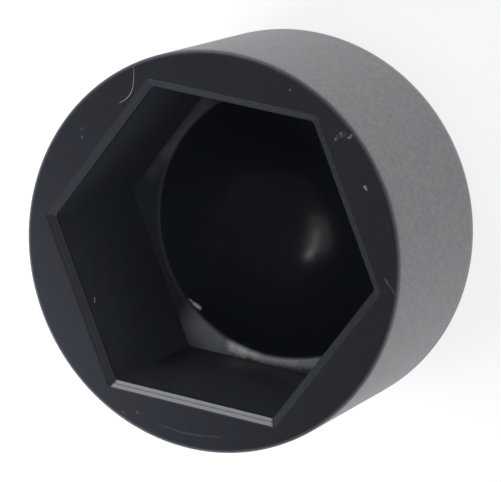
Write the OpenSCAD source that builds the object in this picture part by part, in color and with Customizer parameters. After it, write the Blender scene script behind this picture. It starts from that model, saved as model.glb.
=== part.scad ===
// Lug nut cap: a push-on cover for a 19 mm wheel nut, moulded in one piece.
// It stands on its domed closed end, and the mouth of its hexagonal pocket faces up.
// The origin is the middle of the closed end, and +Z runs up to the mouth.

/* [Pocket] */
// Width across flats of the pocket, at its mouth
pocket_flats = 19.05; // [15:0.05:24]
// Depth of the pocket, from the rim down to the ledge that the nut stops on
pocket_depth = 11.25; // [8:0.05:16]
// Inward lean of the pocket's walls, in degrees, which lets its core pull out
pocket_draft = 0.6; // [0:0.1:1.5]
// Radius in the six corners of the pocket
pocket_corner_r = 0.3; // [0.2:0.05:0.8]

/* [Mouth] */
// Width of the chamfer round the mouth, seen from above
chamfer_w = 0.5; // [0.2:0.05:0.9]
// Depth of the same chamfer
chamfer_depth = 0.4; // [0.2:0.05:0.9]

/* [Recess under the nut] */
// Width of the flat ledge, at the middle of each pocket wall
ledge_w = 0.55; // [0.3:0.05:1.5]
// Radius of the soft edge between the ledge and the bowl
ledge_edge_r = 0.3; // [0.2:0.05:0.6]
// Depth of the bowl below the ledge
bowl_depth = 5.1; // [3:0.1:6]

/* [Shell] */
// Wall between a pocket corner and the outside, at the rim
corner_wall = 1.75; // [1.4:0.05:3]
// Thickness of the closed end, under the middle of the bowl
end_wall = 1.5; // [1:0.05:3]
// Taper of the outside towards the closed end, in degrees
side_draft = 1.3; // [0:0.1:2]
// Radius of the soft outer edge of the rim
rim_edge_r = 0.25; // [0.1:0.05:0.5]
// Radius of the rounded edge of the closed end
end_edge_r = 2.6; // [1:0.1:3.2]
// Rise of the closed end's dome, past a flat end with the same rounded edge
dome_rise = 3.05; // [2:0.05:4]
// Depth by which the middle of the dome is cut flat, for the cap to stand on
dome_cut = 0.2; // [0.05:0.05:0.3]

/* [Hidden] */
$fn = 128;

// Length by which a cutting shape runs on past the face that it opens through
overrun = 1;

// Depth by which a round and the face that it touches run into each other, so that they join
bite = 0.0002;

// Heights of the ledge and of the rim
ledge_z = end_wall + bowl_depth;
rim_z = ledge_z + pocket_depth;

// Radius of the rim, measured to its outer edge as if that were sharp
rim_r = pocket_flats / 2 / cos(30) + corner_wall;

// Radius where the bowl meets the ledge, and radius of the bowl's sphere
recess_r = pocket_half(ledge_z) - ledge_w;
bowl_r = (recess_r * recess_r + bowl_depth * bowl_depth) / (2 * bowl_depth);

// Half the pocket's width across flats at height z
function pocket_half(z) = pocket_flats / 2 - (rim_z - z) * tan(pocket_draft);

// Half the mouth's width across the flats of its chamfer at height z
function chamfer_half(z) = pocket_flats / 2 + chamfer_w - (rim_z - z) * chamfer_w / chamfer_depth;

// Radius of the drafted outside at height z
function outside_r(z) = rim_r - (rim_z - z) * tan(side_draft);

// Centre of a round of radius r at height z that touches the drafted outside
function round_centre(r, z) = [outside_r(z) - r / cos(side_draft), z];

// Point where that round runs into the drafted outside
function round_end(r, z) = round_centre(r, z) + (r - bite) * [cos(side_draft), -sin(side_draft)];

// A hexagonal bar from height z0 to z1, with half its width across flats at each end
module hex_bar(z0, half0, z1, half1) {
    length = 4 * rim_r;
    intersection_for (turn = [0, 60, 120])
        rotate(turn)
            rotate([90, 0, 0])
                linear_extrude(length, center = true)
                    polygon([[-half0, z0], [half0, z0], [half1, z1], [-half1, z1]]);
}

// The drafted pocket: a hexagonal bar whose sharp corners are cut off along a flat,
// and six leaning rods of the corner radius, which touch both walls beside them
module pocket() {
    top_z = rim_z + overrun;
    round_r = pocket_corner_r;
    round_side = round_r * cos(pocket_draft);
    function flat_half(z) = (pocket_half(z) - round_side) / cos(30) + round_side * cos(30);
    function rod_x(z) = (pocket_half(z) - round_r / cos(pocket_draft)) / cos(30);
    lean = atan(tan(pocket_draft) / cos(30));
    intersection() {
        union() {
            intersection() {
                hex_bar(ledge_z, pocket_half(ledge_z), top_z, pocket_half(top_z));
                rotate(30)
                    hex_bar(ledge_z, flat_half(ledge_z), top_z, flat_half(top_z));
            }
            for (corner = [0:5])
                rotate(30 + 60 * corner)
                    translate([rod_x(ledge_z), 0, ledge_z])
                        rotate([0, lean, 0])
                            translate([0, 0, -overrun])
                                cylinder(h = pocket_depth + 3 * overrun, r = round_r);
        }
        translate([0, 0, ledge_z])
            cylinder(h = pocket_depth + overrun, r = 2 * rim_r);
    }
}

// The chamfer round the mouth, with its six corners mitred
module chamfer() {
    low_z = rim_z - chamfer_depth - overrun;
    high_z = rim_z + overrun;
    hex_bar(low_z, chamfer_half(low_z), high_z, chamfer_half(high_z));
}

// Half section of the recess: a bowl, and a soft edge that rolls up onto the ledge
module recess_section() {
    bowl_z = end_wall + bowl_r;
    edge_r = ledge_edge_r;
    edge_z = ledge_z - edge_r;
    edge_x = sqrt(pow(bowl_r + edge_r - bite, 2) - pow(bowl_z - edge_z, 2));
    touch_x = edge_x * bowl_r / (bowl_r + edge_r);
    intersection() {
        translate([0, bowl_z])
            circle(bowl_r);
        square([edge_x, ledge_z + overrun]);
    }
    difference() {
        translate([touch_x, edge_z])
            square([edge_x - touch_x, edge_r + overrun]);
        translate([edge_x, edge_z])
            circle(edge_r);
    }
}

// Half section of the solid outside: a domed closed end, a drafted side and two round edges
module outside_section() {
    end_centre = round_centre(end_edge_r, end_edge_r + dome_rise - dome_cut);
    rim_centre = round_centre(rim_edge_r, rim_z - rim_edge_r);
    dome_r = end_edge_r + (pow(end_centre.x, 2) + pow(dome_rise, 2)) / (2 * dome_rise);
    touch_x = end_centre.x * dome_r / (dome_r - end_edge_r);
    intersection() {
        translate([0, dome_r - dome_cut])
            circle(dome_r - bite);
        square([touch_x, end_centre.y + overrun]);
    }
    polygon([
        [0, end_centre.y],
        end_centre,
        round_end(end_edge_r, end_centre.y),
        round_end(rim_edge_r, rim_centre.y),
        [rim_centre.x, rim_z],
        [0, rim_z]
    ]);
    translate(end_centre)
        circle(end_edge_r);
    translate(rim_centre)
        circle(rim_edge_r);
}

// The whole cap, hollowed from the mouth
module cap() {
    color("#1b1c1f")
        difference() {
            rotate_extrude()
                outside_section();
            pocket();
            chamfer();
            rotate_extrude()
                recess_section();
        }
}

cap();
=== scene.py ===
import math
import bpy
import numpy as np
from mathutils import Matrix, Vector


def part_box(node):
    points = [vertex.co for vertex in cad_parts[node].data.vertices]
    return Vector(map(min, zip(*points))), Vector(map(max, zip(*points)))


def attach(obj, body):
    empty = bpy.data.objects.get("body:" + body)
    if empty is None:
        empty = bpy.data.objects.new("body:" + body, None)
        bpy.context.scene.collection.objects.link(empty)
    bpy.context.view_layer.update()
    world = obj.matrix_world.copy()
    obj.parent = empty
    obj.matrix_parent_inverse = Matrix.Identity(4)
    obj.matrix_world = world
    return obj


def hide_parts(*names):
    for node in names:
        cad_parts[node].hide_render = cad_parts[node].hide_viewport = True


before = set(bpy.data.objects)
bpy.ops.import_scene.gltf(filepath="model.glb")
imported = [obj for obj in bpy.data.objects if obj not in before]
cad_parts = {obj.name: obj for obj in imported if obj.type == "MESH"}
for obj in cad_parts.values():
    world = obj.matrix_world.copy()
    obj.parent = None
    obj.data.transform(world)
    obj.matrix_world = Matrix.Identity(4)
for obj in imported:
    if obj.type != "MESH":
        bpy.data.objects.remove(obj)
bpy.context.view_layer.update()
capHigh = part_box("cap")[1]  # the upper corner of the CAD solid's box

mm = 0.001
cornerAngle = 30  # degrees from the middle of a flat of the hexagon to its corner
sharpAngle = 40  # bends past this many degrees are shaded as sharp edges
scene = bpy.context.scene
scene.view_settings.view_transform = "Standard"

# The cap: one closed surface of loops round the axis, from the middle of the closed end
# over the outside, the rim, the mouth, the pocket's walls and the ledge to the middle of the bowl.
# All lengths are in metres and all angles in degrees. Columns run round the axis.
capValues = {
    "height": capHigh.z,
    "rimRadius": 12.749 * mm,  # to the outer edge, as if it were sharp
    "sideDraft": 1.3,
    "rimRound": 0.25 * mm,
    "endRound": 2.6 * mm,
    "domeRise": 3.05 * mm,  # of the closed end, past a flat end with the same round edge
    "domeCut": 0.2 * mm,  # the small flat in its middle
    "pocketHalf": 9.525 * mm,  # half the width across flats, at the rim
    "pocketDepth": 11.25 * mm,
    "pocketDraft": 0.6,
    "pocketCorner": 0.3 * mm,
    "chamferWidth": 0.5 * mm,
    "chamferDepth": 0.4 * mm,
    "chamferRound": 0.16 * mm,  # both edges of the chamfer
    "grooveWidth": 0.08 * mm,  # of the fine parting line along the middle of the chamfer
    "grooveDepth": 0.012 * mm,
    "ledgeWidth": 0.55 * mm,
    "ledgeLean": 2.0,  # towards the bowl
    "ledgeRound": 0.3 * mm,
    "bowlDepth": 5.1 * mm,
    "perFlat": 34,  # columns on each flat of the hexagon
    "perCorner": 14,  # columns at each corner, over the span
    "cornerSpan": 2.2,
    "perRound": 8,  # rows of points on each small round edge, and so on
    "perDome": 32,
    "perEndRound": 24,
    "perBowl": 64,
    "perSide": 22,  # rows between the ends of the drafted side, and of the pocket's wall
    "perEndFlat": 3,
    "perRing": 12,  # rows between the edges of the flat rim, and of the ledge
    "hold": 0.01 * mm,  # rows this close to a bend keep the normals of the flat beside it
    "footHold": 0.03 * mm,  # the same, above the foot of the pocket's wall
}


# Polar radius of a hexagon with round corners: half / cos(angle) on a flat, and near a corner
# the far side of a circle of radius corner, centred (half - corner) / cos(30) out along it.
def hexRadius(angle, half, corner):
    toCorner = math.radians(cornerAngle)
    fromFlat = np.abs((angle + toCorner) % (2 * toCorner) - toCorner)
    fromCorner = toCorner - fromFlat
    centre = (half - corner) / math.cos(toCorner)
    flat = half / np.cos(fromFlat)
    inside = np.clip(corner ** 2 - (centre * np.sin(fromCorner)) ** 2, 0, None)
    rounded = centre * np.cos(fromCorner) + np.sqrt(inside)
    touch = np.arctan2((half - corner) * math.tan(toCorner), half)
    return np.where(fromFlat < touch, flat, rounded)


# Points of a circular arc, centre + radius (cos t, sin t), with t in degrees from start to end
def arc(centre, radius, start, end, count):
    t = np.radians(np.linspace(start, end, count))
    return np.stack([centre[0] + radius * np.cos(t), centre[1] + radius * np.sin(t)], axis=1)


# Points (1 - t) a + t b of a straight line, without its two ends
def stretch(a, b, count):
    t = np.linspace(0, 1, count + 2)[1:-1, None]
    return np.asarray(a) * (1 - t) + np.asarray(b) * t


# (radius, height) points of the outside: a small flat, a dome that runs into the round edge
# of the closed end, the drafted side and the soft outer edge of the rim. The dome's radius is
# endRound + (x^2 + rise^2) / (2 rise), with x as far out as the middle of the round edge.
def outsideProfile(values):
    draft = math.radians(values["sideDraft"])

    def centre(radius, height):  # of a round that touches the drafted side
        side = values["rimRadius"] - (values["height"] - height) * math.tan(draft)
        return (side - radius / math.cos(draft), height)

    endRound, rimRound, rise = values["endRound"], values["rimRound"], values["domeRise"]
    endCentre = centre(endRound, endRound + rise - values["domeCut"])
    rimCentre = centre(rimRound, values["height"] - rimRound)
    dome = endRound + (endCentre[0] ** 2 + rise ** 2) / (2 * rise)
    domeZ = dome - values["domeCut"]
    flatEdge = math.degrees(math.acos(domeZ / dome))  # angles from straight down, in the dome's circle
    touch = math.degrees(math.atan2(endCentre[0], domeZ - endCentre[1]))
    domeArc = arc((0, domeZ), dome, flatEdge - 90, touch - 90, values["perDome"])
    endArc = arc(endCentre, endRound, touch - 90, -values["sideDraft"], values["perEndRound"])
    rimArc = arc(rimCentre, rimRound, -values["sideDraft"], 90, values["perRound"])
    endFlat = stretch((0, 0), domeArc[0], values["perEndFlat"])
    side = stretch(endArc[-1], rimArc[0], values["perSide"])
    return np.concatenate([endFlat, domeArc, endArc[1:], side, rimArc])


# A circular arc that rounds the corner of the path before, corner, after. Its centre lies on the line
# that halves the corner's angle, radius / sin(half the angle) from the corner.
def softCorner(before, corner, after, radius, count):
    before, corner, after = (np.asarray(p, float) for p in (before, corner, after))
    inward = (before - corner) / np.linalg.norm(before - corner)
    onward = (after - corner) / np.linalg.norm(after - corner)
    halfAngle = 0.5 * math.acos(float(np.clip(inward @ onward, -1, 1)))
    middle = (inward + onward) / np.linalg.norm(inward + onward)
    centre = corner + middle * radius / math.sin(halfAngle)
    start = corner + inward * radius / math.tan(halfAngle) - centre
    end = corner + onward * radius / math.tan(halfAngle) - centre
    a0, a1 = math.atan2(start[1], start[0]), math.atan2(end[1], end[0])
    turn = (a1 - a0 + math.pi) % (2 * math.pi) - math.pi
    t = a0 + turn * np.linspace(0, 1, count)
    return centre + radius * np.stack([np.cos(t), np.sin(t)], axis=1)


# (half width across flats, height) points from the rim over the chamfer, with its fine groove, and
# straight down the drafted wall to the ledge
def mouthProfile(values):
    top, slope = values["height"], math.tan(math.radians(values["pocketDraft"]))
    ledge = top - values["pocketDepth"]
    chamferFoot = top - values["chamferDepth"]
    wallFoot = values["pocketHalf"] - values["pocketDepth"] * slope
    corners = [
        (values["rimRadius"], top),  # only gives the direction of the flat rim
        (values["pocketHalf"] + values["chamferWidth"], top),
        (values["pocketHalf"] - values["chamferDepth"] * slope, chamferFoot),
        (wallFoot, ledge),
    ]
    upper = softCorner(*corners[0:3], values["chamferRound"], values["perRound"])
    lower = softCorner(*corners[1:4], values["chamferRound"], values["perRound"])
    along = (lower[0] - upper[-1]) / np.linalg.norm(lower[0] - upper[-1])
    inward = np.array([-along[1], along[0]])
    middle, hold = (upper[-1] + lower[0]) / 2, values["hold"]
    edges = 0.5 * values["grooveWidth"] * np.array([-1, -1, 0, 1, 1])  # the groove's edges and bottom
    beside = hold * np.array([-1, 0, 0, 0, 1])
    groove = middle + (edges + beside)[:, None] * along
    groove[2] += values["grooveDepth"] * inward
    flats = [upper[-1:] + hold * along, groove, lower[:1] - hold * along]
    foot = np.array(corners[3:])
    above = foot + (lower[-1] - foot) * values["footHold"] / values["pocketDepth"]
    wall = stretch(lower[-1], foot[0], values["perSide"])
    return np.concatenate([upper, *flats, lower, wall, above, foot])


# (radius, height) points from the ledge over its soft edge and down a sphere to the middle of the bowl.
# The sphere's radius is (recess^2 + depth^2) / (2 depth), with the recess's own radius at the ledge.
def bowlProfile(values):
    ledge = values["height"] - values["pocketDepth"]
    slope = math.tan(math.radians(values["pocketDraft"]))
    recess = values["pocketHalf"] - values["pocketDepth"] * slope - values["ledgeWidth"]
    depth, edge = values["bowlDepth"], values["ledgeRound"]
    sphere = (recess ** 2 + depth ** 2) / (2 * depth)
    sphereZ = ledge - depth + sphere
    edgeX = math.sqrt((sphere + edge) ** 2 - (sphereZ - ledge + edge) ** 2)
    touch = math.degrees(math.atan2(edgeX, sphereZ - ledge + edge))  # where it meets the sphere
    soft = arc((edgeX, ledge - edge), edge, 90, 90 + touch, values["perRound"])
    bowl = arc((0, sphereZ), sphere, -90 + touch, -90, values["perBowl"])
    return np.concatenate([soft, bowl[1:-1]])


# What a row holds for its loop: radius of the circle, half width and corner radius of the hexagon, share
# of the hexagon and height, and then the share of each finish, where what is left over is gloss
loopNames = ("circle", "half", "corner", "share", "height")
finishNames = ("grained", "satin", "bowl", "ledge", "wall")


# All rows, from the closed end to the middle of the bowl, as one array for each of those names
def capRows(values):
    outside = outsideProfile(values)
    mouth = mouthProfile(values)
    bowl = bowlProfile(values)

    def rows(circle, half, share, height, *finish):  # each is one number, or a number for every row
        columns = np.broadcast_arrays(circle, half, values["pocketCorner"], share, height, *finish)
        return np.stack(columns, axis=1).astype(float)

    turned = np.linspace(0, 1, values["perRound"])  # over the soft outer edge of the rim
    grained = np.concatenate([np.ones(len(outside) - len(turned)), 1 - turned])
    satin = 1 - grained
    across = np.linspace(0, 1, values["perRing"] + 2)[1:-1]  # over a flat ring between circle and hexagon
    wide, foot = mouth[0, 0], mouth[-1, 0]
    polished = np.clip(np.arange(len(mouth)) / len(turned), 0, 1)  # over the upper edge of the chamfer
    atFoot = np.arange(len(mouth)) == len(mouth) - 1
    depth = (mouth[0, 1] - mouth[:, 1]) / values["chamferDepth"]  # 1 at the foot of the chamfer
    onWall = np.where(atFoot, 0, np.clip(2 * (depth - 1), 0, 1))  # full half a chamfer below it
    deep = np.clip(np.arange(len(bowl)) / len(turned), 0, 1)  # over the soft edge of the bowl
    table = np.concatenate([
        rows(outside[:, 0], wide, 0, outside[:, 1], grained, satin, 0, 0, 0),
        rows(outside[-1, 0], wide, across, values["height"], 0, 1, 0, 0, 0),
        rows(outside[-1, 0], mouth[:, 0], 1, mouth[:, 1], 0, 1 - polished, 0, atFoot, onWall),
        rows(bowl[0, 0], foot, 1 - across, mouth[-1, 1], 0, 0, 0, 1, 0),
        rows(bowl[:, 0], foot, 0, bowl[:, 1], 0, 0, deep, 1 - deep, 0),
    ])
    return dict(zip(loopNames + finishNames, table.T))


# Angles round the axis: those of one sector of the hexagon, close together near its corner, + 60 k
def loopAngles(values):
    span = values["cornerSpan"] / 2
    flat = np.linspace(-cornerAngle + span, cornerAngle - span, values["perFlat"])
    turn = np.linspace(cornerAngle - span, cornerAngle + span, values["perCorner"] + 2)[1:-1]
    sector = np.concatenate([flat, turn])
    return np.radians(np.concatenate([sector + 2 * cornerAngle * k for k in range(6)]))


# A closed mesh from rows of points round a path, with a fan to a pole at each end. Point j of row i
# has the number i columnCount + j.
def closedGrid(name, points, lowPole, highPole):
    rowCount, columnCount = points.shape[:2]
    verts = np.concatenate([points.reshape(-1, 3), [lowPole, highPole]])
    i, j = np.meshgrid(np.arange(rowCount - 1), np.arange(columnCount), indexing="ij")
    k = (j + 1) % columnCount
    quads = np.stack([i * columnCount + j, i * columnCount + k,
                      (i + 1) * columnCount + k, (i + 1) * columnCount + j], axis=-1).reshape(-1, 4)
    column = np.arange(columnCount)
    after = (column + 1) % columnCount
    low, high = len(verts) - 2, len(verts) - 1
    top = (rowCount - 1) * columnCount
    lowFan = np.stack([after, column, np.full(columnCount, low)], axis=1)
    highFan = np.stack([top + column, top + after, np.full(columnCount, high)], axis=1)
    mesh = bpy.data.meshes.new(name)
    mesh.from_pydata(verts.tolist(), [], quads.tolist() + lowFan.tolist() + highFan.tolist())
    mesh.polygons.foreach_set("use_smooth", np.ones(len(mesh.polygons), bool))
    mesh.update()
    mesh.set_sharp_from_angle(angle=math.radians(sharpAngle))
    piece = bpy.data.objects.new(name, mesh)
    scene.collection.objects.link(piece)
    return piece


# Each loop is r = (1 - share) circle + share hexagon at its height, taken at every angle. On the ledge
# the height changes by (r - foot) tan(lean), and the bowl goes down with the ledge's inner edge.
def makeCap(values):
    rows = capRows(values)
    angle = loopAngles(values)[None, :]
    circle, half, corner, share, height = (rows[name][:, None] for name in loopNames)
    radius = (1 - share) * circle + share * hexRadius(angle, half, corner)
    foot = half[-1, 0]
    slope = math.tan(math.radians(values["ledgeLean"]))
    lean = (np.maximum(radius, foot - values["ledgeWidth"]) - foot) * slope
    leaning = rows["bowl"] + rows["ledge"] > 0
    height = height + np.where(leaning[:, None], lean, 0)
    points = np.stack([radius * np.cos(angle), radius * np.sin(angle), height], axis=-1)
    bowlFloor = points[-1, 0, 2]
    piece = closedGrid("capShell", points, (0, 0, 0), (0, 0, bowlFloor))
    for name in finishNames:
        finish = rows[name]
        shares = np.append(np.repeat(finish, angle.size), [finish[0], finish[-1]])
        piece.data.attributes.new(name, "FLOAT", "POINT").data.foreach_set("value", shares)
    return piece


cap = makeCap(capValues)
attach(cap, "root")
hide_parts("cap")
print("cap surface:", len(cap.data.polygons), "faces")

# A fibre of lint that lies on the rim, along a curve with four guide points
lintValues = {
    "thickness": 0.038 * mm,
    "tip": 0.35,  # share of the thickness that is left at both ends
    "taper": 0.3,  # a smaller value keeps the thickness nearer to the ends
    "guides": [(10.64, 6.76), (9.25, 6.52), (8.66, 6.54), (8.09, 7.46)],  # x and y on the rim, in mm
    "steps": 40,
    "sides": 8,
    "colour": (0.22, 0.22, 0.23, 1),
    "roughness": 0.8,
    "specular": 0.5,
}


# A tube round the cubic (1-t)^3 A + 3 t (1-t)^2 B + 3 t^2 (1-t) C + t^3 D. Its thickness goes with
# tip + (1 - tip) sin(pi t)^taper.
def makeLint(values, rimHeight):
    t = np.linspace(0, 1, values["steps"])[:, None]
    a, b, c, d = (np.array(p) * mm for p in values["guides"])
    line = (1 - t) ** 3 * a + 3 * t * (1 - t) ** 2 * b + 3 * t ** 2 * (1 - t) * c + t ** 3 * d
    along = np.gradient(line, axis=0)
    along /= np.linalg.norm(along, axis=1, keepdims=True)
    across = np.stack([-along[:, 1], along[:, 0]], axis=1)
    fullness = values["tip"] + (1 - values["tip"]) * np.sin(math.pi * t) ** values["taper"]
    radius = 0.5 * values["thickness"] * fullness
    turn = np.linspace(0, 2 * math.pi, values["sides"], endpoint=False)[None, :, None]
    flat = line[:, None] + across[:, None] * (radius[:, None] * np.cos(turn))
    up = rimHeight + radius[:, None] * np.sin(turn)
    points = np.concatenate([flat, up], axis=2)
    return closedGrid("lintFibre", points, (*line[0], rimHeight), (*line[-1], rimHeight))


lint = makeLint(lintValues, capValues["height"])
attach(lint, "root")
print("lint fibre:", len(lint.data.polygons), "faces")


# A new node at a place in its tree, with each value in the input or the setting of that name
def node(tree, kind, at, **values):
    made = tree.nodes.new(kind)
    made.location = at
    for key, value in values.items():
        if key in made.inputs:
            made.inputs[key].default_value = value
        else:
            setattr(made, key, value)
    return made


# Numbers or colours mixed as (1 - factor) a + factor b. Factor, a and b are each a socket or a value.
def mixed(tree, kind, factor, a, b, at):
    made = node(tree, "ShaderNodeMix", at, data_type=kind)
    ending = "_Color" if kind == "RGBA" else "_Float"
    sockets = {socket.identifier: socket for socket in made.inputs}
    for name, value in (("Factor_Float", factor), ("A" + ending, a), ("B" + ending, b)):
        if isinstance(value, bpy.types.NodeSocket):
            tree.links.new(value, sockets[name])
        else:
            sockets[name].default_value = value
    return next(socket for socket in made.outputs if socket.identifier == "Result" + ending)


# A material of one colour and finish
def plainMaterial(name, colour, roughness, specular):
    material = bpy.data.materials.new(name)
    material.use_nodes = True
    shader = material.node_tree.nodes["Principled BSDF"]
    shader.inputs["Base Color"].default_value = colour
    shader.inputs["Roughness"].default_value = roughness
    shader.inputs["Specular IOR Level"].default_value = specular
    return material


# Black plastic in six finishes of one moulding: glossy on the chamfer and in the bowl, duller on the
# pocket's walls and the ledge, satin on the rim, and finely grained outside. Colours are linear.
capFinish = {
    "gloss": {"colour": (0.0200, 0.0218, 0.0245, 1), "roughness": 0.17, "specular": 0.45, "speckle": 0.3},
    # Partly painted light: the walls' colour is lighter than the bowl's and the rim's, for light that
    # falls into the pocket.
    "wall": {"colour": (0.0345, 0.0390, 0.0460, 1), "roughness": 0.40, "specular": 0.26, "speckle": 0.5},
    "bowl": {"colour": (0.0160, 0.0190, 0.0235, 1), "roughness": 0.17, "specular": 0.25, "speckle": 0.3},
    "ledge": {"colour": (0.0330, 0.0370, 0.0430, 1), "roughness": 0.30, "specular": 0.45, "speckle": 0.5},
    "satin": {"colour": (0.0109, 0.0119, 0.0146, 1), "roughness": 0.42, "specular": 0.26, "speckle": 0.8},
    "grained": {"colour": (0.1145, 0.1132, 0.1175, 1), "roughness": 0.55, "specular": 0.6, "speckle": 1.4},
    "layers": ("wall", "bowl", "ledge", "satin", "grained"),  # laid over the gloss in this order
    "grainScale": 3600,  # per metre, of the coarsest of the grain's octaves
    "grainDetail": 5.0,
    "grainRoughness": 0.65,
    "grainStretch": (1.0, 1.0, 0.45),
    "grainDepth": 0.012 * mm,
    "cloudScale": 420,
    "cloudDetail": 3.0,
    "cloudSpread": (0.35, 0.65),  # noise values between which the first tint turns into the second
    "tints": ((1.06, 0.975, 0.975, 1), (0.94, 1.0, 1.06, 1)),  # faint warm and cool clouds
    "sheen": 0.22,  # of the grained outside, as fine dust gives it
    "waver": 0.25 * mm,  # of the outlines of the marks below
    "waverScale": 3800,
    "gapSpread": (0.42, 0.58),  # noise values between which a gap turns into a mark
}

# Marks of handling and dust, and painted highlights and painted light on the ledge and on the bowl's edge.
# Each is a stroke from one point to another, in mm, with its half width and its strength. Its edge fades
# over the soft share of its half width, and the gaps in it are given by the share that they take away and
# by their closeness, per metre. Those on the ledge show nowhere else.
capMarks = {
    "pale": {
        "colour": (0.30, 0.30, 0.32, 1), "soft": 0.4, "gaps": None, "onLedge": False,
        "strokes": {
            "fleck": ((6.31, -9.63, 17.85), (6.22, -9.72, 17.85), 0.12, 0.42),
            "smallFleck": ((11.24, -3.87, 17.85), (11.20, -3.90, 17.85), 0.07, 0.3),
            "edgeScratch": ((0.94, -11.75, 17.85), (0.05, -12.62, 17.85), 0.05, 0.13),
            "arcStart": ((-11.64, 1.88, 17.85), (-11.75, 0.62, 17.85), 0.06, 0.05),
            "arcMiddle": ((-11.75, 0.62, 17.85), (-11.73, -0.66, 17.85), 0.06, 0.05),
            "arcEnd": ((-11.73, -0.66, 17.85), (-11.45, -2.27, 17.85), 0.06, 0.04),
            "spotOne": ((-11.23, 3.50, 17.85), (-11.20, 3.60, 17.85), 0.09, 0.08),
            "spotTwo": ((-11.39, 4.46, 17.85), (-11.36, 4.56, 17.85), 0.09, 0.08),
            "dustOne": ((5.94, 9.75, 17.85), (5.97, 9.78, 17.85), 0.08, 0.16),
            "dustTwo": ((5.44, 9.68, 17.85), (5.47, 9.71, 17.85), 0.08, 0.16),
            "sideFleck": ((12.48, 1.71, 11.28), (12.50, 1.66, 11.40), 0.08, 1.0),
            "wallDash": ((-4.96, 8.12, 16.41), (-5.20, 7.98, 16.58), 0.085, 1.0),
        },
    },
    "rubbed": {
        "colour": (0.30, 0.31, 0.32, 1), "soft": 0.6, "gaps": (0.9, 3000), "onLedge": False,
        "strokes": {
            "scuff": ((8.74, -7.28, 17.85), (9.32, -7.90, 17.85), 0.12, 0.45),
            "scuffSide": ((9.02, -7.34, 17.85), (9.42, -7.72, 17.85), 0.07, 0.3),
            "scuffEnd": ((9.12, -8.16, 17.85), (9.24, -8.28, 17.85), 0.12, 0.4),
            "edgeFleck": ((12.20, -2.92, 17.85), (12.40, -2.80, 17.85), 0.1, 0.5),
        },
    },
    # A pale haze in the corner of the ledge, and painted light along the ledge's far side, where it is
    # lit.
    "hazeAndPaintedLight": {
        "colour": (0.74, 0.76, 0.78, 1), "soft": 1.0, "gaps": None, "onLedge": True,
        "strokes": {
            "corner": ((-7.95, 4.35, 6.60), (-8.60, 3.60, 6.60), 2.50, 0.36),
            "farSideLight": ((6.70, 6.45, 6.60), (2.80, 8.80, 6.60), 0.85, 0.09),
            "farTipLight": ((2.80, 8.80, 6.60), (1.40, 9.60, 6.60), 0.80, 0.04),
        },
    },
    # Partly dust and partly a painted highlight: pale paint along the lit strip of the ledge, which stands
    # in part for the light reflected there.
    "dustAndPaintedHighlight": {
        "colour": (0.82, 0.81, 0.81, 1), "soft": 0.9, "gaps": None, "onLedge": True,
        "strokes": {
            "ledgeMiddle": ((-8.82, 1.60, 6.60), (-8.94, 0.00, 6.60), 0.58, 0.52),
            "ledgeRight": ((-8.94, 0.00, 6.60), (-8.78, -2.10, 6.60), 0.58, 0.50),
            "ledgeEnd": ((-8.78, -2.10, 6.60), (-8.50, -3.60, 6.60), 0.62, 0.36),
        },
    },
    # Partly crumbs of dust and partly a painted highlight, on the brightest part of the ledge's lit strip.
    "crumbsAndPaintedHighlight": {
        "colour": (0.90, 0.87, 0.88, 1), "soft": 1.0, "gaps": (0.25, 5200), "onLedge": True,
        "strokes": {
            "ledgeBright": ((-8.72, 2.35, 6.60), (-8.82, 1.60, 6.60), 0.72, 1.0),
            "ledgeCrumbs": ((-8.82, 1.60, 6.60), (-8.92, 0.70, 6.60), 0.50, 0.6),
        },
    },
    # Painted highlight: a pink-white glint painted on the bowl's soft edge, where a lamp's reflection
    # falls.
    "paintedHighlight": {
        "colour": (0.95, 0.78, 0.80, 1), "soft": 0.95, "gaps": None, "onLedge": False,
        "strokes": {
            "bowlEdgeHighlightTip": ((-6.46, 5.84, 6.37), (-6.66, 5.54, 6.29), 0.15, 0.5),
            "bowlEdgeHighlight": ((-6.66, 5.54, 6.29), (-6.87, 5.22, 6.22), 0.22, 0.95),
        },
    },
}


# How much of a stroke covers a point: full near its line, and fading to none at its half width, by the
# distance |p - a - h (b - a)| with h = clamp((p - a).(b - a) / |b - a|^2)
def strokeMask(tree, position, stroke, soft, at):
    start, end = (np.array(p) * mm for p in stroke[:2])
    halfWidth, strength = stroke[2] * mm, stroke[3]
    span = end - start
    link = tree.links.new
    offset = node(tree, "ShaderNodeVectorMath", at, operation="SUBTRACT")
    link(position, offset.inputs[0])
    offset.inputs[1].default_value = start
    dot = node(tree, "ShaderNodeVectorMath", (at[0] + 180, at[1]), operation="DOT_PRODUCT")
    link(offset.outputs["Vector"], dot.inputs[0])
    dot.inputs[1].default_value = span / (span @ span)
    share = node(tree, "ShaderNodeClamp", (at[0] + 360, at[1]))
    link(dot.outputs["Value"], share.inputs["Value"])
    foot = node(tree, "ShaderNodeVectorMath", (at[0] + 540, at[1]), operation="SCALE")
    foot.inputs[0].default_value = span
    link(share.outputs["Result"], foot.inputs["Scale"])
    away = node(tree, "ShaderNodeVectorMath", (at[0] + 720, at[1]), operation="DISTANCE")
    link(offset.outputs["Vector"], away.inputs[0])
    link(foot.outputs["Vector"], away.inputs[1])
    cover = node(tree, "ShaderNodeMapRange", (at[0] + 900, at[1]), interpolation_type="SMOOTHSTEP")
    link(away.outputs["Value"], cover.inputs["Value"])
    cover.inputs["From Min"].default_value = halfWidth
    cover.inputs["From Max"].default_value = (1 - soft) * halfWidth
    cover.inputs["To Max"].default_value = strength
    return cover.outputs["Result"]


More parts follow.
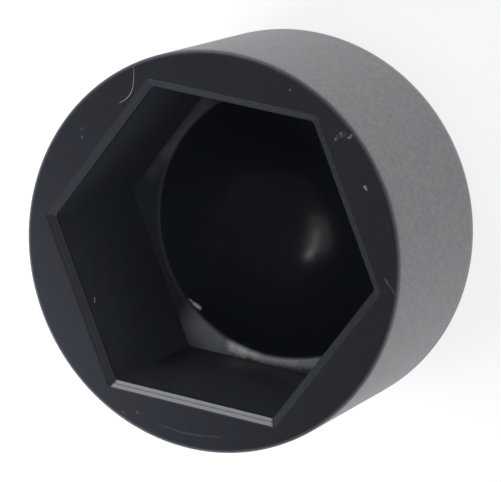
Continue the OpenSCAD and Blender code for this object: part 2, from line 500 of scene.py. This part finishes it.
# One Principled shader. Each finish covers those before it by its share, which is an attribute of the
# mesh, the grain multiplies the colour by 1 + speckle (noise - 1/2), and the marks are laid on last.
def blackPlastic(finish, marks):
    material = bpy.data.materials.new("blackPlastic")
    material.use_nodes = True
    tree = material.node_tree
    link = tree.links.new
    shader = tree.nodes["Principled BSDF"]
    shader.location = (900, 0)
    position = node(tree, "ShaderNodeTexCoord", (-1500, 0)).outputs["Object"]
    shares = {}
    for step, name in enumerate(finishNames):
        share = node(tree, "ShaderNodeAttribute", (-900, 300 - 200 * step), attribute_name=name)
        shares[name] = share.outputs["Fac"]

    def byFinish(key, kind, y):  # gloss, and each of the others laid over it by its share
        laid = finish["gloss"][key]
        for step, name in enumerate(finish["layers"]):
            laid = mixed(tree, kind, shares[name], laid, finish[name][key], (-600 + 200 * step, y))
        return laid

    colour = byFinish("colour", "RGBA", 500)
    roughness = byFinish("roughness", "FLOAT", 250)
    link(byFinish("specular", "FLOAT", 0), shader.inputs["Specular IOR Level"])

    # Faint warm and cool clouds, with a fine salt-and-pepper grain, strongest outside
    clouds = node(tree, "ShaderNodeTexNoise", (-1200, -200),
                  Scale=finish["cloudScale"], Detail=finish["cloudDetail"])
    grain = node(tree, "ShaderNodeTexNoise", (-1200, -450), Scale=finish["grainScale"],
                 Detail=finish["grainDetail"], Roughness=finish["grainRoughness"])
    stretched = node(tree, "ShaderNodeVectorMath", (-1350, -450), operation="MULTIPLY")
    link(position, stretched.inputs[0])
    stretched.inputs[1].default_value = finish["grainStretch"]
    link(position, clouds.inputs["Vector"])
    link(stretched.outputs["Vector"], grain.inputs["Vector"])
    spread = node(tree, "ShaderNodeMapRange", (-1050, -200))
    first, second = spread.inputs["From Min"], spread.inputs["From Max"]
    first.default_value, second.default_value = finish["cloudSpread"]
    link(clouds.outputs["Fac"], spread.inputs["Value"])
    tint = mixed(tree, "RGBA", spread.outputs["Result"], *finish["tints"], (-900, -200))
    centred = node(tree, "ShaderNodeMath", (-900, -450), operation="SUBTRACT")
    link(grain.outputs["Fac"], centred.inputs[0])
    centred.inputs[1].default_value = 0.5
    speckle = node(tree, "ShaderNodeMath", (-700, -450), operation="MULTIPLY_ADD")
    link(centred.outputs[0], speckle.inputs[0])
    link(byFinish("speckle", "FLOAT", -250), speckle.inputs[1])
    speckle.inputs[2].default_value = 1
    tinted = node(tree, "ShaderNodeVectorMath", (-100, 400), operation="MULTIPLY")
    link(colour, tinted.inputs[0])
    link(tint, tinted.inputs[1])
    speckled = node(tree, "ShaderNodeVectorMath", (60, 400), operation="SCALE")
    link(tinted.outputs["Vector"], speckled.inputs[0])
    link(speckle.outputs[0], speckled.inputs["Scale"])

    # The strokes' outlines waver: x and y of the place move by waver (noise - 1/2)
    waver = node(tree, "ShaderNodeTexNoise", (-1500, -700), Scale=finish["waverScale"], Detail=1.0)
    link(position, waver.inputs["Vector"])
    aside = node(tree, "ShaderNodeVectorMath", (-1500, -900), operation="MULTIPLY_ADD")
    link(waver.outputs["Color"], aside.inputs[0])
    aside.inputs[1].default_value = (finish["waver"], finish["waver"], 0)
    link(position, aside.inputs[2])
    placed = node(tree, "ShaderNodeVectorMath", (-1350, -900), operation="SUBTRACT")
    link(aside.outputs["Vector"], placed.inputs[0])
    placed.inputs[1].default_value = (finish["waver"] / 2, finish["waver"] / 2, 0)

    # The strokes of one kind join by their maximum, and then cover what is under them
    surface, row = speckled.outputs["Vector"], 0
    for kind in marks.values():
        cover = None
        for stroke in kind["strokes"].values():
            y = -1100 - 180 * row
            one = strokeMask(tree, placed.outputs["Vector"], stroke, kind["soft"], (-1200, y))
            if cover is not None:
                most = node(tree, "ShaderNodeMath", (0, y), operation="MAXIMUM")
                link(cover, most.inputs[0])
                link(one, most.inputs[1])
                one = most.outputs[0]
            cover, row = one, row + 1
        only = [shares["ledge"]] if kind["onLedge"] else []
        if kind["gaps"]:
            lost, closeness = kind["gaps"]
            breaks = node(tree, "ShaderNodeTexNoise", (180, y), Scale=closeness, Detail=1.0)
            link(position, breaks.inputs["Vector"])
            kept = node(tree, "ShaderNodeMapRange", (360, y))
            link(breaks.outputs["Fac"], kept.inputs["Value"])
            gap, mark = kept.inputs["From Min"], kept.inputs["From Max"]
            gap.default_value, mark.default_value = finish["gapSpread"]
            kept.inputs["To Min"].default_value = 1 - lost
            only.append(kept.outputs["Result"])
        for share in only:
            both = node(tree, "ShaderNodeMath", (540, y), operation="MULTIPLY")
            link(cover, both.inputs[0])
            link(share, both.inputs[1])
            cover = both.outputs[0]
        surface = mixed(tree, "RGBA", cover, surface, kind["colour"], (720, y))
    link(surface, shader.inputs["Base Color"])
    link(roughness, shader.inputs["Roughness"])

    # Grain depth and a dusty sheen, outside only
    sheen = node(tree, "ShaderNodeMath", (600, 0), operation="MULTIPLY")
    link(shares["grained"], sheen.inputs[0])
    sheen.inputs[1].default_value = finish["sheen"]
    link(sheen.outputs[0], shader.inputs["Sheen Weight"])
    bump = node(tree, "ShaderNodeBump", (600, -300), Distance=finish["grainDepth"])
    link(shares["grained"], bump.inputs["Strength"])
    link(grain.outputs["Fac"], bump.inputs["Height"])
    link(bump.outputs["Normal"], shader.inputs["Normal"])
    return material


cap.data.materials.append(blackPlastic(capFinish, capMarks))
lintLook = [lintValues[key] for key in ("colour", "roughness", "specular")]
lint.data.materials.append(plainMaterial("lintWhite", *lintLook))
print("materials done")

# The stage: a white floor under the closed end. What looks at it straight, or in a reflection, sees it
# mostly as plain white, and the rest keeps the cap's shadow.
stage = {"reach": 0.6, "colour": (0.9, 0.9, 0.9, 1), "roughness": 0.9, "plainShare": 0.8}


# A square floor whose material is (1 - share) white paint + share plain white, where the share is
# plainShare for what the camera and reflections see, and none for the light on the cap
def makeFloor(values):
    reach = values["reach"]
    mesh = bpy.data.meshes.new("floor")
    mesh.from_pydata([(-reach, -reach, 0), (reach, -reach, 0), (reach, reach, 0), (-reach, reach, 0)],
                     [], [(0, 1, 2, 3)])
    piece = bpy.data.objects.new("floor", mesh)
    scene.collection.objects.link(piece)
    material = plainMaterial("whiteFloor", values["colour"], values["roughness"], specular=0)
    tree = material.node_tree
    link = tree.links.new
    shader = tree.nodes["Principled BSDF"]
    path = node(tree, "ShaderNodeLightPath", (-600, 300))
    seen = path.outputs["Is Camera Ray"]
    for step, ray in enumerate(("Is Glossy Ray", "Is Transmission Ray")):
        either = node(tree, "ShaderNodeMath", (-400 + 200 * step, 300), operation="MAXIMUM")
        link(seen, either.inputs[0])
        link(path.outputs[ray], either.inputs[1])
        seen = either.outputs[0]
    share = node(tree, "ShaderNodeMath", (0, 300), operation="MULTIPLY")
    link(seen, share.inputs[0])
    share.inputs[1].default_value = values["plainShare"]
    plain = node(tree, "ShaderNodeEmission", (0, -300), Strength=1.0)
    plain.inputs["Color"].default_value = (1, 1, 1, 1)
    mix = node(tree, "ShaderNodeMixShader", (300, 0))
    link(share.outputs[0], mix.inputs[0])
    link(shader.outputs[0], mix.inputs[1])
    link(plain.outputs[0], mix.inputs[2])
    link(mix.outputs[0], tree.nodes["Material Output"].inputs["Surface"])
    mesh.materials.append(material)
    return piece


floor = makeFloor(stage)

# Dark cards that stand in arcs round the cap, from one azimuth to another, and that the camera doesn't
# see. With them the chamfer doesn't mirror the white surroundings everywhere.
cardSteps = 40
darkCards = {
    "behind": {"from": 55, "to": 140, "away": 0.062, "low": 0.0005, "high": 0.070, "shade": 0.06},
    "behindLeft": {"from": 140, "to": 195, "away": 0.062, "low": 0.0005, "high": 0.070, "shade": 0.27},
    "leftHand": {"from": -168, "to": -122, "away": 0.12, "low": 0.045, "high": 0.098, "shade": 0.32},
}


# A strip of quads on a circular arc, away (cos t, sin t), between two heights
def makeDarkCard(name, values):
    t = np.radians(np.linspace(values["from"], values["to"], cardSteps))
    ring = values["away"] * np.stack([np.cos(t), np.sin(t)], axis=1)
    verts = [(x, y, z) for z in (values["low"], values["high"]) for x, y in ring]
    count = len(ring)
    mesh = bpy.data.meshes.new(name)
    mesh.from_pydata(verts, [], [(k, k + 1, count + k + 1, count + k) for k in range(count - 1)])
    mesh.materials.append(plainMaterial(name, (values["shade"],) * 3 + (1,), roughness=1, specular=0))
    piece = bpy.data.objects.new(name, mesh)
    piece.visible_camera = False
    scene.collection.objects.link(piece)
    return piece


for name, values in darkCards.items():
    makeDarkCard(name, values)
print("floor and dark cards done")

# Soft lamps, placed by their direction from the origin: azimuth round +Z and angle from +Z, in degrees.
# Lengths are in metres, the turn is about the line to the origin, and white paper has brightness 1.
lamps = {
    "keyHead": {"azimuth": 56, "polar": 28.3, "away": 0.45, "width": 0.024, "length": 0.046,
                "turn": 0, "brightness": 8.2, "colour": (1, 1, 1)},
    "keyTail": {"azimuth": 76, "polar": 26.3, "away": 0.45, "width": 0.030, "length": 0.112,
                "turn": 13, "brightness": 2.6, "colour": (1, 1, 1)},
    "keyGlow": {"azimuth": 89, "polar": 29, "away": 0.44, "width": 0.170, "length": 0.180,
                "turn": 0, "brightness": 0.75, "colour": (1, 0.98, 1)},
    "ledgeLamp": {"azimuth": 58, "polar": 28, "away": 0.45, "width": 0.08, "length": 0.10,
                  "turn": 0, "brightness": 3, "colour": (1, 1, 1), "mirrored": False},
    "sideLamp": {"azimuth": 24.6, "polar": 65, "away": 0.45, "width": 0.10, "length": 0.13,
                 "turn": 0, "brightness": 5.6, "colour": (1, 1, 1)},
    "fillLamp": {"azimuth": -75, "polar": 32, "away": 0.45, "width": 0.44, "length": 0.50,
                 "turn": 0, "brightness": 0.75, "colour": (0.95, 1, 1.08), "mirrored": False},
    "leftCard": {"azimuth": 130, "polar": 55, "away": 0.056, "width": 0.030, "length": 0.085,
                 "turn": 0, "brightness": 0.22, "colour": (0.95, 1, 1.05)},
    "rimCard": {"azimuth": 127, "polar": 46, "away": 0.050, "width": 0.020, "length": 0.036,
                "turn": 0, "brightness": 12.5, "colour": (0.95, 1, 1.06), "mirrored": False},
    "nearCard": {"azimuth": -61, "polar": 52, "away": 0.45, "width": 0.08, "length": 0.09,
                 "turn": 0, "brightness": 0.32, "colour": (0.95, 1, 1.06)},
}


# A rectangle at away times its direction, facing the origin. Its power is 4 brightness length width.
def makeLamp(name, values):
    azimuth, polar = math.radians(values["azimuth"]), math.radians(values["polar"])
    outward = Vector((math.cos(azimuth), math.sin(azimuth), 0))
    toward = outward * math.sin(polar) + Vector((0, 0, math.cos(polar)))
    sideways = Vector((-math.sin(azimuth), math.cos(azimuth), 0))
    upright = toward.cross(sideways)
    turn = math.radians(values["turn"])
    longWay = sideways * math.cos(turn) + upright * math.sin(turn)
    shortWay = longWay.cross(toward)
    data = bpy.data.lights.new(name, "AREA")
    data.shape = "RECTANGLE"
    data.size, data.size_y = values["length"], values["width"]
    data.energy = values["brightness"] * 4 * values["length"] * values["width"]
    data.color = values["colour"]
    lamp = bpy.data.objects.new(name, data)
    axes = Matrix((longWay, -shortWay, toward)).transposed().to_4x4()
    axes.translation = toward * values["away"]
    lamp.matrix_world = axes
    lamp.visible_camera = False
    lamp.visible_glossy = values.get("mirrored", True)
    scene.collection.objects.link(lamp)


for name, values in lamps.items():
    makeLamp(name, values)
print("lamps done")

# The surroundings: a dark ceiling above a pale band that runs down to the horizon, dimmer on one side
surroundings = {
    "bands": [  # height of a direction, from 0 at the horizon to 1 overhead, and its brightness
        (0.0, 1.2), (0.25, 2.0), (0.45, 2.6), (0.54, 1.7), (0.60, 0.4), (0.66, 0.17), (1.0, 0.14),
    ],
    "brightest": 2.6,
    "dimSide": -33,  # azimuth of the dimmer side, in degrees
    "dimShare": 0.24,  # of the brightness elsewhere
    "dimSpread": (0.1, 0.8),  # cosines from that azimuth between which it darkens
}


# Brightness by the height of a direction, times a share that falls with the direction's dot product with
# the dim side
def makeSurroundings(values):
    world = bpy.data.worlds.new("studio")
    scene.world = world
    world.use_nodes = True
    tree = world.node_tree
    link = tree.links.new
    direction = node(tree, "ShaderNodeTexCoord", (-1000, 0)).outputs["Generated"]
    height = node(tree, "ShaderNodeSeparateXYZ", (-800, 100))
    link(direction, height.inputs[0])
    ramp = node(tree, "ShaderNodeValToRGB", (-500, 100))
    link(height.outputs["Z"], ramp.inputs["Fac"])
    stops = ramp.color_ramp.elements
    while len(stops) < len(values["bands"]):
        stops.new(0.5)  # moved to its own place below
    for stop, (place, brightness) in zip(stops, values["bands"]):
        stop.position = place
        stop.color = (brightness / values["brightest"],) * 3 + (1,)
    azimuth = math.radians(values["dimSide"])
    ahead = node(tree, "ShaderNodeVectorMath", (-800, -200), operation="DOT_PRODUCT")
    link(direction, ahead.inputs[0])
    ahead.inputs[1].default_value = (math.cos(azimuth), math.sin(azimuth), 0)
    shade = node(tree, "ShaderNodeMapRange", (-500, -200))
    link(ahead.outputs["Value"], shade.inputs["Value"])
    bright, dim = shade.inputs["From Min"], shade.inputs["From Max"]
    bright.default_value, dim.default_value = values["dimSpread"]
    shade.inputs["To Min"].default_value = values["brightest"]
    shade.inputs["To Max"].default_value = values["brightest"] * values["dimShare"]
    background = tree.nodes["Background"]
    link(ramp.outputs["Color"], background.inputs["Color"])
    link(shade.outputs["Result"], background.inputs["Strength"])


makeSurroundings(surroundings)
print("surroundings done")

# The camera, placed by the view of the rim in the photograph, a picture 501 wide and 482 high.
# Directions are in the camera's axes: x right, y down, z forward, in rim radii.
view = {
    "focal": 4700,  # in pixels, as the width is
    "width": 501,
    "sensor": 36,  # the same width, in mm
    "clip": (0.01, 10),
    "rimCentre": (-0.1965, 0.0593, 22.926),
    "axis": (-0.4095, 0.1650),  # x and y of the unit axis that points out of the mouth
    "firstFlat": 82.0,  # turn of the pocket about that axis
}


# The mouth's axis, and the camera's x made square to it and turned by the first flat's angle, are the
# cap's axes as the camera sees them. Its position is the rim's centre - toCap (that centre as seen).
def placeCamera(view, values):
    axis = np.array([*view["axis"], -math.sqrt(1 - view["axis"][0] ** 2 - view["axis"][1] ** 2)])
    across = np.array([1.0, 0, 0]) - axis[0] * axis
    across /= np.linalg.norm(across)
    along = np.cross(axis, across)
    turn = math.radians(view["firstFlat"])
    capX = across * math.cos(turn) + along * math.sin(turn)
    capY = -across * math.sin(turn) + along * math.cos(turn)
    toCap = np.array([capX, capY, axis])  # rows: the cap's axes in the camera's
    rimCentre = np.array(view["rimCentre"]) * values["rimRadius"]
    position = np.array([0, 0, values["height"]]) - toCap @ rimCentre
    right, up, back = toCap @ [1, 0, 0], toCap @ [0, -1, 0], toCap @ [0, 0, -1]
    matrix = Matrix([[right[k], up[k], back[k], position[k]] for k in range(3)] + [[0, 0, 0, 1]])
    data = bpy.data.cameras.new("camera")
    data.sensor_width = view["sensor"]
    data.lens = view["focal"] / view["width"] * data.sensor_width
    data.clip_start, data.clip_end = view["clip"]
    camera = bpy.data.objects.new("camera", data)
    camera.matrix_world = matrix
    scene.collection.objects.link(camera)
    scene.camera = camera


placeCamera(view, capValues)
print("camera done")
